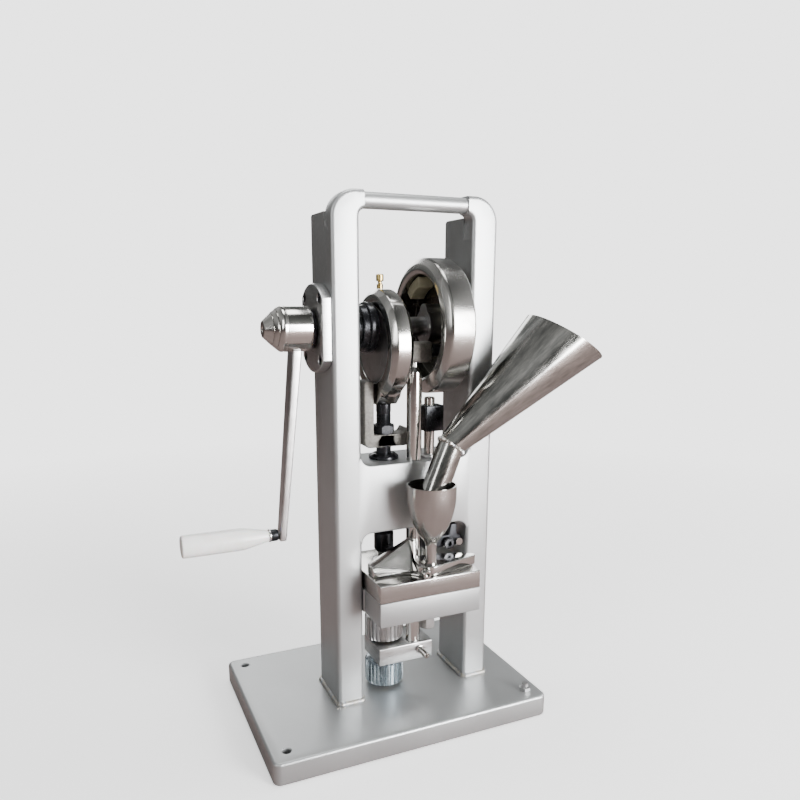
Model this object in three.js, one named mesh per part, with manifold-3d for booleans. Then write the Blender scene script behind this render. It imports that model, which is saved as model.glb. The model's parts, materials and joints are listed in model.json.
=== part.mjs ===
// Hand-cranked single-punch tablet press, in millimetres, +Z up.
// X runs along the crankshaft with the crank at -X, and the feed side faces -Y.
// The origin is the centre of the base plate's underside.
import * as THREE from "three";
import { mergeVertices } from "three/addons/utils/BufferGeometryUtils.js";
import Module from "manifold-3d";

const wasm = await Module();
wasm.setup();

// ---- driving dimensions ----------------------------------------------------
const GAP = 0.3;
const BASE = { length: 300, depth: 213, height: 24, corner: 8, holeR: 4.2, insetX: 17, insetY: 18 };
const FRAME = { x: 25, width: 175, upright: 28, front: -37.5, back: 24, wall: 4, top: 518, corner: 4 };
const ARCH = { top: 537, bar: 16.5, depth: 20, legBottom: 497, radius: 25 };
const BEAM = { bottom: 208, top: 278, fillet: 10 };
const SHAFT = { y: -6.75, z: 411.5, r: 10 };
const THROW = 17;
const RAM = { x: 1, y: -8, r: 7.7, travel: 20 };
const LIFT = { x: 27.5, y: -25.5, r: 7.8, travel: 8 };
const FEED = { x: 46.5, y: -22, r: 5.5 };
const TABLE = { x0: -33, x1: 78, front: -80, back: 23.5, bottom: 149.6, top: 167.6, beamBottom: 124.5 };
const DRUM = { x0: 43.5, x1: 70, r: 68, bore: 52, web: 8 };
const STRAP = { half: 11.5, r: 54, inner: 38.3, chamfer: 5, lugBottom: 335, lugWidth: 18 };
const CUP = { x: 27.5, y: -67, r: 25, wall: 1.5, rim: 261, neckR: 5.7, foot: 178.3 };
const FUNNEL = {
  foot: [23.4, 236], bend: [48, 298.3], mouth: [177.5, 401.5], facing: [0.507, -0.096, 0.857],
  tubeR: 13.5, mouthR: 43.4, wall: 1.2,
};
const SHOE = { bottom: 168, top: 178, ridge: 201 };
const HUB = { x0: -121, cone: -105, x1: -77, r: 21.5, nose: 8.5 };
const ARM = { top: 392, bottom: 204, topX: -90.2, bottomX: -109.3 };
const GRIP = { z: 209.7, ferruleX: -117.5, whiteX: -123, fullX: -146, endX: -207, r: 11, neck: 5.6 };
const GEAR = { r: 21, teeth: 26, tooth: 1.9 };

const FRAME_X0 = FRAME.x - FRAME.width / 2;
const FRAME_X1 = FRAME.x + FRAME.width / 2;
const INNER_X0 = FRAME_X0 + FRAME.upright;
const INNER_X1 = FRAME_X1 - FRAME.upright;
const STRAP_Z = SHAFT.z - THROW;

// ---- looks -----------------------------------------------------------------
const LOOKS = {
  paint: [0xb4b8b8, 0.42, 0.75],
  bright: [0xf0f1f2, 0.35, 0.85],
  polished: [0xb9babb, 0.14, 1.0],
  steel: [0x8d8f90, 0.32, 1.0],
  black: [0x17181a, 0.45, 0.6],
  zinc: [0x9db0b8, 0.3, 1.0],
  brass: [0xb39b4a, 0.3, 1.0],
  cast: [0x77736c, 0.7, 0.6],
  grip: [0xf2f1ee, 0.35, 0.0],
  olive: [0x8f8c6c, 0.6, 0.4],
};

// ---- solid helpers ---------------------------------------------------------
function solid(geometry) {
  const bare = geometry.index ? geometry.toNonIndexed() : geometry.clone();
  bare.deleteAttribute("normal");
  bare.deleteAttribute("uv");
  const merged = mergeVertices(bare, 1e-4);
  const index = merged.index.array;
  const faces = [];
  for (let i = 0; i < index.length; i += 3) {
    const [a, b, c] = index.slice(i, i + 3);
    if (a !== b && b !== c && c !== a) faces.push(a, b, c);
  }
  const make = (list) => new wasm.Manifold(new wasm.Mesh({
    numProp: 3,
    vertProperties: new Float32Array(merged.attributes.position.array),
    triVerts: Uint32Array.from(list),
  }));
  const body = make(faces);
  return body.volume() > 0 ? body : make(faces.reverse());
}

function geometryOf(manifold) {
  const mesh = manifold.getMesh();
  const geometry = new THREE.BufferGeometry();
  geometry.setAttribute("position", new THREE.BufferAttribute(new Float32Array(mesh.vertProperties), 3));
  geometry.setIndex(new THREE.BufferAttribute(new Uint32Array(mesh.triVerts), 1));
  return geometry;
}

const join = (...parts) => parts.reduce((sum, part) => sum.add(part));
const cut = (body, ...tools) => tools.reduce((rest, tool) => rest.subtract(tool), body);

function block(x0, x1, y0, y1, z0, z1) {
  const geometry = new THREE.BoxGeometry(x1 - x0, y1 - y0, z1 - z0);
  return solid(geometry.translate((x0 + x1) / 2, (y0 + y1) / 2, (z0 + z1) / 2));
}

// A turned body: profile is a list of [radius, distance along the axis].
function turned(axis, origin, profile, segments = 24) {
  const geometry = new THREE.LatheGeometry(profile.map(([r, h]) => new THREE.Vector2(r, h)), segments);
  if (axis === "z") geometry.rotateX(Math.PI / 2);
  if (axis === "x") geometry.rotateZ(-Math.PI / 2);
  return solid(geometry.translate(...origin));
}

// A plain rod or disc between two places along its axis.
function rod(axis, across, r, from, to, segments = 24) {
  const origin = { x: [0, ...across], y: [across[0], 0, across[1]], z: [...across, 0] }[axis];
  return turned(axis, origin, [[0, from], [r, from], [r, to], [0, to]], segments);
}

// A flat outline pushed straight through: plane "xy" runs up Z, "xz" along Y, "yz" along X.
function prism(plane, outline, from, to, bevel = 0) {
  const shape = new THREE.Shape(outline.map(([u, v]) => new THREE.Vector2(u, v)));
  const geometry = new THREE.ExtrudeGeometry(shape, {
    depth: to - from - 2 * bevel,
    bevelEnabled: bevel > 0,
    bevelThickness: bevel,
    bevelSize: bevel,
    bevelOffset: -bevel,
    bevelSegments: 3,
    curveSegments: 8,
  });
  geometry.translate(0, 0, from + bevel);
  const axes = {
    xy: [1, 0, 0, 0, 0, 1, 0, 0, 0, 0, 1, 0],
    xz: [1, 0, 0, 0, 0, 0, 1, 0, 0, 1, 0, 0],
    yz: [0, 0, 1, 0, 1, 0, 0, 0, 0, 1, 0, 0],
  }[plane];
  geometry.applyMatrix4(new THREE.Matrix4().set(...axes, 0, 0, 0, 1));
  return solid(geometry);
}

function arc(cx, cy, r, fromDeg, toDeg, steps) {
  return Array.from({ length: steps + 1 }, (_, i) => {
    const a = THREE.MathUtils.degToRad(fromDeg + (toDeg - fromDeg) * i / steps);
    return [cx + r * Math.cos(a), cy + r * Math.sin(a)];
  });
}

function roundedRect(x0, x1, y0, y1, r, steps = 4) {
  return [
    ...arc(x1 - r, y0 + r, r, -90, 0, steps),
    ...arc(x1 - r, y1 - r, r, 0, 90, steps),
    ...arc(x0 + r, y1 - r, r, 90, 180, steps),
    ...arc(x0 + r, y0 + r, r, 180, 270, steps),
  ];
}

// A closed skin between rings of points, with flat ends.
function loft(rings) {
  const n = rings[0].length;
  const points = rings.flat();
  const faces = [];
  for (let k = 0; k + 1 < rings.length; k += 1) {
    for (let i = 0; i < n; i += 1) {
      const a = k * n + i;
      const b = k * n + (i + 1) % n;
      faces.push(a, b, b + n, a, b + n, a + n);
    }
  }
  const last = (rings.length - 1) * n;
  for (let i = 1; i + 1 < n; i += 1) {
    faces.push(0, i + 1, i, last, last + i, last + i + 1);
  }
  const geometry = new THREE.BufferGeometry();
  const places = new Float32Array(points.flatMap((p) => [...p]));
  geometry.setAttribute("position", new THREE.BufferAttribute(places, 3));
  geometry.setIndex(faces);
  return solid(geometry);
}

function ringOf(centre, normal, r, segments = 24) {
  const n = normal.clone().normalize();
  const side = new THREE.Vector3(0, 1, 0).cross(n).normalize();
  const other = n.clone().cross(side);
  return Array.from({ length: segments }, (_, i) => {
    const a = 2 * Math.PI * i / segments;
    return centre.clone().addScaledVector(side, r * Math.cos(a)).addScaledVector(other, r * Math.sin(a));
  });
}

// ---- the assembly ----------------------------------------------------------
const press = new THREE.Group();

function add(name, manifold, look) {
  const [color, roughness, metalness] = LOOKS[look];
  const material = new THREE.MeshStandardMaterial({ color, roughness, metalness });
  const mesh = new THREE.Mesh(geometryOf(manifold), material);
  mesh.name = name;
  press.add(mesh);
}

function addBase() {
  const { length, depth, height, corner, holeR, insetX, insetY } = BASE;
  const outline = roundedRect(-length / 2, length / 2, -depth / 2, depth / 2, corner);
  let plate = prism("xy", outline, 0, height, 2);
  for (const sx of [-1, 1]) {
    for (const sy of [-1, 1]) {
      const at = [sx * (length / 2 - insetX), sy * (depth / 2 - insetY)];
      plate = cut(plate, rod("z", at, holeR, -1, height + 1));
    }
  }
  add("base_plate", plate, "paint");
  const bolt = [length / 2 - insetX, -depth / 2 + insetY];
  add("base_bolt", turned("z", [...bolt, 0], [
    [0, 6], [3.6, 6], [3.6, height + GAP], [6.5, height + GAP], [6.5, height + 4.5], [3.8, height + 4.5],
    [3.8, height + 9], [0, height + 9],
  ], 6 * 4), "steel");
}

function uprightSolid(x0, x1) {
  const { front, back, corner, wall, top } = FRAME;
  const bottom = BASE.height + GAP;
  const plan = prism("xy", roundedRect(x0, x1, front, back, corner), bottom, top);
  const notch = ARCH.legBottom - GAP;
  const side = prism("yz", [
    [front, bottom], [back, bottom], ...arc(back - 8, top - 8, 8, 0, 90, 4),
    [front + ARCH.depth + GAP, top], [front + ARCH.depth + GAP, notch], [front, notch],
  ], x0 - 1, x1 + 1);
  const cavity = block(x0 + wall, x1 - wall, front + wall, back - wall, bottom - 1, notch - wall);
  return cut(plan.intersect(side), cavity, rod("x", [SHAFT.y, SHAFT.z], 15, x0 - 1, x1 + 1));
}

function addFrame() {
  add("upright_left", uprightSolid(FRAME_X0, INNER_X0), "bright");
  add("upright_right", uprightSolid(INNER_X1, FRAME_X1), "bright");
  const { top, bar, legBottom, radius, depth } = ARCH;
  const inner = top - bar;
  add("carry_handle", prism("xz", [
    [FRAME_X0, legBottom], [INNER_X0, legBottom], ...arc(INNER_X0 + 7, inner - 7, 7, 180, 90, 4),
    ...arc(INNER_X1 - 7, inner - 7, 7, 90, 0, 4), [INNER_X1, legBottom], [FRAME_X1, legBottom],
    ...arc(FRAME_X1 - radius, top - radius, radius, 0, 90, 8),
    ...arc(FRAME_X0 + radius, top - radius, radius, 90, 180, 8),
  ], FRAME.front, FRAME.front + depth, 3.5), "bright");

  const x0 = INNER_X0 + GAP;
  const x1 = INNER_X1 - GAP;
  const f = BEAM.fillet;
  const beam = prism("xz", [
    [x0, BEAM.bottom - f], ...arc(x0 + f, BEAM.bottom - f, f, 180, 90, 5),
    ...arc(x1 - f, BEAM.bottom - f, f, 90, 0, 5), ...arc(x1 - f, BEAM.top + f, f, 360, 270, 5),
    ...arc(x0 + f, BEAM.top + f, f, 270, 180, 5),
  ], FRAME.front, FRAME.back - 0.5);
  add("crossbeam", cut(
    beam,
    rod("z", [RAM.x, RAM.y], RAM.r + GAP, 190, 300),
    rod("z", [RAM.x, RAM.y], 11.2, 190, 200 + RAM.travel + 0.5),
    rod("z", [LIFT.x, LIFT.y], LIFT.r + GAP, 190, 300),
    rod("z", [FEED.x, FEED.y], FEED.r + GAP, 190, 300),
  ), "bright");

  const holes = (from, to, ram) => [
    rod("z", [RAM.x, RAM.y], ram, from, to),
    rod("z", [LIFT.x, LIFT.y], LIFT.r + GAP, from, to),
    rod("z", [FEED.x, FEED.y], FEED.r + GAP, from, to),
  ];
  const t = TABLE;
  const step = FRAME.front - GAP;
  const support = prism("xy", [
    [t.x0, t.front], [t.x1, t.front], [t.x1, step], [x1, step],
    [x1, t.back], [x0, t.back], [x0, step], [t.x0, step],
  ], t.beamBottom, t.bottom - GAP);
  add("table_beam", cut(support, ...holes(t.beamBottom - 1, t.bottom + 1, 10.5)), "bright");
  const plate = block(t.x0, t.x1, t.front, t.back, t.bottom, t.top);
  const pivot = rod("z", [CUP.x, CUP.y], 4 + GAP, 155, t.top + 1, 24);
  add("die_table", cut(plate, ...holes(t.bottom - 1, t.top + 1, 12 + GAP), pivot), "polished");
  add("die", turned("z", [RAM.x, RAM.y, 0], [
    [4.25, 150], [12, 150], [12, t.top], [4.25, t.top], [4.25, 150],
  ], 32), "steel");
  add("shoe_pivot_pin", rod("z", [CUP.x, CUP.y], 4, 155.3, 174, 24), "steel");
  add("ram_guide_flange", turned("z", [RAM.x, RAM.y, 0], [
    [RAM.r + GAP, 278.3], [15.5, 278.3], [15.5, 281], [11.5, 284], [RAM.r + GAP, 284], [RAM.r + GAP, 278.3],
  ]), "black");
  add("feed_shaft_bush", turned("z", [FEED.x, FEED.y, 0], [
    [FEED.r + GAP, 278.3], [9.5, 278.3], [9.5, 281.5], [FEED.r + GAP, 281.5], [FEED.r + GAP, 278.3],
  ], 32), "steel");
}

function addBearings() {
  const face = FRAME_X0 - GAP;
  const across = [SHAFT.y, SHAFT.z];
  const flats = block(face - 12, face + 1, FRAME.front, FRAME.back, SHAFT.z - 60, SHAFT.z + 60);
  let flange = rod("x", across, 42, face - 10, face, 36).intersect(flats);
  flange = join(flange, rod("x", across, 14.5, face - 1, INNER_X0 - 0.5));
  flange = cut(flange, rod("x", across, SHAFT.r + 0.25, face - 20, INNER_X0 + 5));
  const spots = [[-22.5, 28.5], [22.5, 28.5], [-22.5, -28.5], [22.5, -28.5]];
  for (const [dy, dz] of spots) {
    const at = [SHAFT.y + dy, SHAFT.z + dz];
    const seat = rod("x", at, 4.9, face - 20, face - 5, 20);
    flange = cut(flange, rod("x", at, 2.9, face - 20, face + 5, 20), seat);
  }
  add("bearing_flange", flange, "steel");
  spots.forEach(([dy, dz], i) => {
    const at = [SHAFT.y + dy, SHAFT.z + dz];
    const shank = rod("x", at, 2.5, face - 6, face - 0.2, 16);
    const screw = join(shank, rod("x", at, 4.4, face - 9, face - 5.2, 16));
    add(`flange_screw_${i + 1}`, cut(screw, rod("x", at, 2, face - 10, face - 7, 6)), "black");
  });
  add("bearing_bush_right", turned("x", [0, ...across], [
    [SHAFT.r + 0.25, INNER_X1 - 0.5], [14.5, INNER_X1 - 0.5], [14.5, FRAME_X1], [SHAFT.r + 0.25, FRAME_X1],
    [SHAFT.r + 0.25, INNER_X1 - 0.5],
  ]), "steel");
}

function addCrank() {
  const across = [SHAFT.y, SHAFT.z];
  const g = GAP;
  add("main_shaft", turned("x", [0, ...across], [
    [0, -104], [7, -104], [7, HUB.x1 - 4], [SHAFT.r, HUB.x1 - 4], [SHAFT.r, 112], [8, 114], [0, 114],
  ]), "steel");
  const { x0, cone, x1, r, nose } = HUB;
  add("crank_hub", cut(turned("x", [0, ...across], [
    [0, x0], [nose - 1, x0], [nose, x0 + 1], [r - 0.6, cone - 0.6], [r, cone], [r, x1], [0, x1],
  ]), rod("x", across, 7 + g, -104 - g, x1 - 4 + g), rod("x", across, SHAFT.r + g, x1 - 4 - g, x1 + 1)),
  "polished");
  add("hub_collar", turned("x", [0, ...across], [
    [SHAFT.r + g, x1 + g], [19, x1 + g], [19, FRAME_X0 - 10.9], [SHAFT.r + g, FRAME_X0 - 10.9],
    [SHAFT.r + g, x1 + g],
  ]), "black");

  const ring = (z, x, wx, wy) => [
    [x - wx, SHAFT.y - wy, z], [x + wx, SHAFT.y - wy, z],
    [x + wx, SHAFT.y + wy, z], [x - wx, SHAFT.y + wy, z],
  ].map((p) => new THREE.Vector3(...p));
  const slope = (ARM.bottomX - ARM.topX) / (ARM.bottom - ARM.top);
  const arm = loft([
    ring(ARM.bottom, ARM.bottomX, 3.3, 6.8),
    ring(ARM.bottom + 8, ARM.bottomX + 8 * slope, 3.4, 6.9),
    ring(ARM.top, ARM.topX, 4.5, 10),
  ]);
  const pinAt = [SHAFT.y, GRIP.z];
  const hubHole = rod("x", across, r + g, x0, x1 + 8, 32);
  add("crank_arm", cut(arm, hubHole, rod("x", pinAt, 3 + g, -130, -90, 20)), "steel");
  add("grip_pin", join(
    rod("x", pinAt, 3, GRIP.endX + 12, -104.6, 20),
    rod("x", pinAt, 4.8, -104.8, -102.5, 20),
  ), "steel");
  add("grip_ferrule", turned("x", [0, ...pinAt], [
    [3 + g, GRIP.ferruleX], [3 + g, -113.4], [5.6, -113.4], [6, -115], [6, GRIP.ferruleX - 5],
    [3 + g, GRIP.ferruleX - 5], [3 + g, GRIP.ferruleX],
  ], 32), "black");
  add("crank_grip", turned("x", [0, ...pinAt], [
    [0, GRIP.endX], [GRIP.r - 3, GRIP.endX], [GRIP.r - 0.8, GRIP.endX + 1], [GRIP.r, GRIP.endX + 3],
    [GRIP.r, GRIP.fullX], [GRIP.neck, GRIP.whiteX], [3 + g, GRIP.whiteX], [3 + g, GRIP.endX + 11.5],
    [0, GRIP.endX + 11.5],
  ], 28), "grip");
}

function addShaftParts() {
  const across = [SHAFT.y, SHAFT.z];
  const bore = SHAFT.r + GAP;
  add("shaft_collar", turned("x", [0, ...across], [
    [bore, INNER_X0 + GAP], [17, INNER_X0 + GAP], [17, -27], [22, -27], [22, -20.5], [25, -20.5], [25, -12.2],
    [bore, -12.2], [bore, INNER_X0 + GAP],
  ]), "black");
  const sheaveAt = [SHAFT.y, STRAP_Z];
  const x0 = RAM.x - STRAP.half;
  const x1 = RAM.x + STRAP.half;
  const sheave = rod("x", sheaveAt, STRAP.inner - GAP, x0 + 1, x1 - 1, 36);
  add("eccentric_sheave", cut(sheave, rod("x", across, bore, x0 - 5, x1 + 5)), "steel");

  const c = STRAP.chamfer;
  const ring = turned("x", [0, ...sheaveAt], [
    [STRAP.inner, x0], [STRAP.r - c, x0], [STRAP.r, x0 + c], [STRAP.r, x1 - c], [STRAP.r - c, x1],
    [STRAP.inner, x1], [STRAP.inner, x0],
  ], 40);
  const lugTop = STRAP_Z - STRAP.inner - 2;
  const w = STRAP.lugWidth / 2;
  const lug = prism("yz", [
    [SHAFT.y - w, STRAP.lugBottom], [SHAFT.y + w, STRAP.lugBottom], [SHAFT.y + w + 10, STRAP.lugBottom + 9],
    [SHAFT.y + w + 10, lugTop], [SHAFT.y - w - 10, lugTop], [SHAFT.y - w - 10, STRAP.lugBottom + 9],
  ], x0, x1);
  const socketTop = STRAP.lugBottom + RAM.travel + 0.6;
  const socket = rod("z", [RAM.x, RAM.y], RAM.r + GAP, STRAP.lugBottom - 5, socketTop);
  const clearOfSheave = rod("x", sheaveAt, STRAP.inner + 2, x0 - 1, x1 + 1, 40);
  add("eccentric_strap", cut(join(ring, cut(lug, clearOfSheave)), socket), "polished");

  add("oil_cup", turned("z", [RAM.x - 3, SHAFT.y, 0], [
    [0, 448.8], [3.2, 448.8], [3.2, 453], [2, 453.5], [2, 456], [3.8, 456.5], [3.8, 462], [2.6, 463], [0, 463],
  ], 20), "brass");

  const d = DRUM;
  add("drum_wheel", turned("x", [0, ...across], [
    [bore, d.x1 - d.web], [d.bore, d.x1 - d.web], [d.bore, d.x0 - 3], [d.bore + 4, d.x0 - 5.5],
    [d.r - 6, d.x0 - 4], [d.r - 1, d.x0], [d.r, d.x0 + 2], [d.r, d.x1 - 1.5], [d.r - 1.5, d.x1],
    [bore, d.x1], [bore, d.x1 - d.web],
  ], 40), "polished");
  const camX0 = 46;
  const camX1 = d.x1 - d.web - GAP;
  add("lift_cam", cut(join(
    rod("x", across, 17.5, camX0, camX1),
    rod("x", [SHAFT.y, SHAFT.z + 14], 9, camX0, camX1),
  ), rod("x", across, bore, camX0 - 5, camX1 + 5)), "steel");
  const segment = prism("yz", [
    ...arc(SHAFT.y, SHAFT.z, d.bore - 1, 42, 78, 6), ...arc(SHAFT.y, SHAFT.z, 40, 78, 42, 6),
  ], 45, camX1);
  add("drum_segment", segment, "olive");
}

function hexAt(x, y, across, z0, z1, bore) {
  const r = across / Math.sqrt(3);
  const nut = turned("z", [x, y, 0], [[0, z0], [r, z0], [r, z1], [0, z1]], 6);
  return cut(nut, rod("z", [x, y], bore, z0 - 1, z1 + 1, 32));
}

function addRam() {
  const { x, y, r } = RAM;
  const top = STRAP.lugBottom - GAP;
  add("ram_spindle", rod("z", [x, y], r, 190.3, top), "black");
  add("lock_nut", hexAt(x, y, 24, 304.6, 313.5, r + GAP), "black");
  const yoke = prism("xz", [
    [-23, 296], [-19, 291], [24, 291], [27, 295], [27, 308], [24, 310], [20, 304], [-12.5, 304],
    [-12.5, 357], [-14.5, 359.5], [-21, 359.5], [-23, 357],
  ], y - 8, y + 12);
  const nutSeat = rod("z", [x, y], 14.2, 303.9, 330);
  add("ram_yoke", cut(yoke, rod("z", [x, y], r + GAP, 285, 303.99), nutSeat), "cast");
  add("punch_holder", turned("z", [x, y, 0], [
    [0, 178], [9, 178], [10.4, 180], [10.4, 198], [9, 199.4], [r + GAP, 199.4], [r + GAP, 190],
    [0, 190],
  ]), "black");
  add("upper_punch", turned("z", [x, y, 0], [
    [0, TABLE.top - 1], [4, TABLE.top - 1], [4, TABLE.top + 3.2], [6.5, TABLE.top + 3.2],
    [6.5, 177.7], [0, 177.7],
  ], 32), "polished");
}

function gearAt(x, y, z0, z1, bore) {
  const outline = [];
  for (let i = 0; i < GEAR.teeth; i += 1) {
    const a = 360 * i / GEAR.teeth;
    const s = 360 / GEAR.teeth;
    const root = GEAR.r - GEAR.tooth;
    for (const [f, r] of [[0, root], [0.28, root], [0.42, GEAR.r], [0.86, GEAR.r]]) {
      outline.push(arc(x, y, r, a + f * s, a + f * s, 1)[0]);
    }
  }
  return cut(prism("xy", outline, z0, z1), rod("z", [x, y], bore, z0 - 1, z1 + 1));
}

function addLift() {
  const { x, y } = RAM;
  const g = GAP;
  add("lower_punch", turned("z", [x, y, 0], [
    [0, 27], [6, 27], [6, 135], [4, 137], [4, 158], [0, 158],
  ]), "brass");
  add("upper_adjust_gear", gearAt(x, y, 80, 105, 6 + g), "steel");
  add("lower_adjust_gear", gearAt(x, y, 28, 53.5, 6 + g), "zinc");
  const bar = block(-16, 46, -36, 8, 58, 77);
  const clampAt = [31, 69.5];
  add("lift_bar", cut(
    bar,
    rod("z", [x, y], 6 + g, 50, 80),
    rod("z", [LIFT.x, LIFT.y], LIFT.r + g, 60, 80),
  ), "steel");
  add("lift_clamp_screw", join(
    rod("y", clampAt, 3.4, -54, -38.5, 24),
    rod("y", clampAt, 4.6, -38.6, -36.3, 24),
  ), "polished");
  const { x: lx, y: ly, r } = LIFT;
  add("lift_rod", turned("z", [lx, ly, 0], [
    [0, 60.3], [r, 60.3], [r, 368], [4.4, 373], [4.4, 380], [0, 380],
  ]), "polished");
  const head = prism("yz", roundedRect(ly - 7.3, ly + 6.8, 377, 398, 4), 21, 44.2);
  const rollerAt = [ly, 388.5];
  add("lift_head", cut(
    head,
    rod("z", [lx, ly], 4.4 + g, 370, 380 + g, 32),
    rod("x", rollerAt, 3 + g, 34, 50, 20),
  ), "cast");
  add("lift_roller_pin", rod("x", rollerAt, 3, 34.4, 59, 20), "steel");
  add("lift_roller", turned("x", [0, ...rollerAt], [
    [3 + g, 46.5], [6, 46.5], [6, 58], [3 + g, 58], [3 + g, 46.5],
  ], 32), "black");
}

function addFeed() {
  const { x, y, r } = FEED;
  const g = GAP;
  add("feed_shaft", rod("z", [x, y], r, 86, 341, 32), "polished");
  add("feed_shaft_nut", hexAt(x, y, 16, 87, 99, r + g), "steel");
  const follower = block(x - 8, x + 13, y - 8, y + 8, 306, 333);
  add("feed_follower", cut(follower, rod("z", [x, y], r + g, 300, 340, 32)), "black");
  const lever = prism("xz", [
    [x - 8.5, 179.5], [82, 179.5], [82, 189], [77, 192], [77, 204], [69, 204], [67, 192], [x - 8.5, 192],
  ], y - 9, y + 9);
  const front = y - 9;
  const screwAt = [65, 184.5];
  const nutAt = [78, 184.5];
  add("feed_lever", cut(
    lever,
    rod("z", [x, y], r + g, 170, 200, 32),
    rod("y", screwAt, 3 + g, front - 1, front + 8, 20),
    rod("y", nutAt, 2 + g, front - 1, front + 6, 20),
  ), "black");
  add("lever_screw", join(
    rod("y", screwAt, 6.2, front - 6, front - g, 28),
    rod("y", screwAt, 3, front - 1, front + 7, 20),
  ), "black");
  add("lever_nut", join(
    rod("y", nutAt, 4.4, front - 4, front - g, 6),
    rod("y", nutAt, 2, front - 1, front + 5, 20),
  ), "polished");
}

function addShoe() {
  const { bottom, top, ridge } = SHOE;
  const g = GAP;
  const plate = prism("xy", [
    [-31, -56], [6, -62], [14, -71], [27.5, -76], [38, -74], [80, -63], [84, -59], [72, -49], [40, -40],
    [16, -40], [12, -37], [-31, -40],
  ], bottom, top);
  const wedge = prism("xz", [
    [-31, bottom + 1], [18, bottom + 1], [18, ridge - 2], [15, ridge - 1.5], [-31, top],
  ], -54, -40);
  const bevel = prism("yz", [
    [-70, bottom + 1.6], [-57, bottom + 1.6], [-44, ridge + 3], [-44, ridge + 12], [-70, ridge + 12],
  ], -40, 13);
  const pivot = rod("z", [CUP.x, CUP.y], 4 + g, bottom - 1, 174 + g, 24);
  const screwAt = [17, 173];
  const screwHole = rod("y", screwAt, 2.4 + g, -80, -62, 20);
  add("feed_shoe", cut(join(plate, wedge), bevel, pivot, screwHole), "polished");
  const shank = rod("y", screwAt, 2.4, -77.5, -64, 20);
  add("shoe_screw", join(rod("y", screwAt, 4.4, -82, -77, 24), shank), "polished");

  const { x, y, wall, rim, neckR, foot, r } = CUP;
  const outer = [
    [neckR, foot], [neckR, 201], [8, 204], [13, 210], [18, 219], [22, 230], [24.3, 241], [r, 250], [r, rim],
  ];
  const inner = outer.map(([radius, z], i) => [radius - wall, i > 1 && i < 8 ? z + 0.6 : z]).reverse();
  add("hopper_cup", turned("z", [x, y, 0], [...outer, ...inner, outer[0]], 28), "polished");
}

function addFunnel() {
  const { foot, bend, mouth, tubeR, mouthR, wall, facing } = FUNNEL;
  const at = ([x, z]) => new THREE.Vector3(x, CUP.y, z);
  const [low, elbow, high] = [foot, bend, mouth].map(at);
  const tubeWay = elbow.clone().sub(low).normalize();
  const coneWay = high.clone().sub(elbow).normalize();
  const miter = tubeWay.clone().add(coneWay).normalize();
  const out = new THREE.Vector3(...facing).normalize();
  const pipe = (rings, inside) => cut(loft(rings), loft(inside));
  const tubeEnd = elbow.clone().addScaledVector(tubeWay, -GAP / 2);
  add("funnel_tube", pipe(
    [ringOf(low, tubeWay, tubeR), ringOf(tubeEnd, miter, tubeR)],
    [ringOf(low.clone().addScaledVector(tubeWay, -2), tubeWay, tubeR - wall),
      ringOf(tubeEnd.clone().addScaledVector(tubeWay, 2), miter, tubeR - wall)],
  ), "polished");
  const steps = 3;
  const rings = (extra) => Array.from({ length: steps + 1 }, (_, k) => {
    const t = k / steps;
    const ends = k === 0 ? -extra : (k === steps ? extra : 0);
    const centre = elbow.clone().lerp(high, t).addScaledVector(coneWay, GAP / 2 + ends);
    const r = tubeR + (mouthR - tubeR) * t;
    return ringOf(centre, miter.clone().lerp(out, t), extra > 0 ? r - wall : r);
  });
  add("funnel_cone", pipe(rings(0), rings(1.5)), "polished");
}

function addFootWelds() {
  const bottom = BASE.height + GAP;
  const { front, back, corner } = FRAME;
  const bead = (x0, x1) => cut(
    prism("xy", roundedRect(x0 - 4, x1 + 4, front - 4, back + 4, 7), bottom, bottom + 4, 1.5),
    prism(
      "xy", roundedRect(x0 - GAP, x1 + GAP, front - GAP, back + GAP, corner + GAP), bottom - 1, bottom + 6,
    ),
  );
  add("foot_weld_left", bead(FRAME_X0, INNER_X0), "steel");
  add("foot_weld_right", bead(INNER_X1, FRAME_X1), "steel");
}

addBase();
addFrame();
addFootWelds();
addBearings();
addCrank();
addShaftParts();
addRam();
addLift();
addFeed();
addShoe();
addFunnel();

export default press;
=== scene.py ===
import json
import math
import random

import bmesh
import bpy
from mathutils import Euler, Matrix, Vector


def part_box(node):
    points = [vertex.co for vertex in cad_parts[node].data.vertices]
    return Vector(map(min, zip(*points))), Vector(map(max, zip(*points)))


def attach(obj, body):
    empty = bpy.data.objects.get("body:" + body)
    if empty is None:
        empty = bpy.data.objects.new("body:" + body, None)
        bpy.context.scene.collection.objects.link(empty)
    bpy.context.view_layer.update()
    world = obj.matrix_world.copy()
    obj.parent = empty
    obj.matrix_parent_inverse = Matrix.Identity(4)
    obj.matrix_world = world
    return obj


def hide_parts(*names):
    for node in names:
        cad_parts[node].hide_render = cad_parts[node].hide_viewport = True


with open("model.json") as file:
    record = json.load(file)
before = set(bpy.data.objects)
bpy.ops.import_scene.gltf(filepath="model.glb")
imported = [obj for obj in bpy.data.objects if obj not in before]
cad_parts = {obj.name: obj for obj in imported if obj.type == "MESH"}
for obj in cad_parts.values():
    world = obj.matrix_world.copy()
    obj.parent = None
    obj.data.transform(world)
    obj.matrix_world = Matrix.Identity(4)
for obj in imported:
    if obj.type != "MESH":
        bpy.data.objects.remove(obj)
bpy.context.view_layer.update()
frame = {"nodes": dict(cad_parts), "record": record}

MM = 0.001
GAP = 0.3
RECORD = frame["record"]
BODY = {node: body for body, nodes in RECORD["behaviour"]["bodies"].items() for node in nodes}


class Span:
    """Where a frame node lies: x0, x1 and its middle x, and so on for y and z."""

    def __init__(self, node):
        low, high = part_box(node)
        for axis, a, b in zip("xyz", low, high):
            setattr(self, axis + "0", a / MM)
            setattr(self, axis + "1", b / MM)
            setattr(self, axis, (a + b) / 2 / MM)


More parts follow.
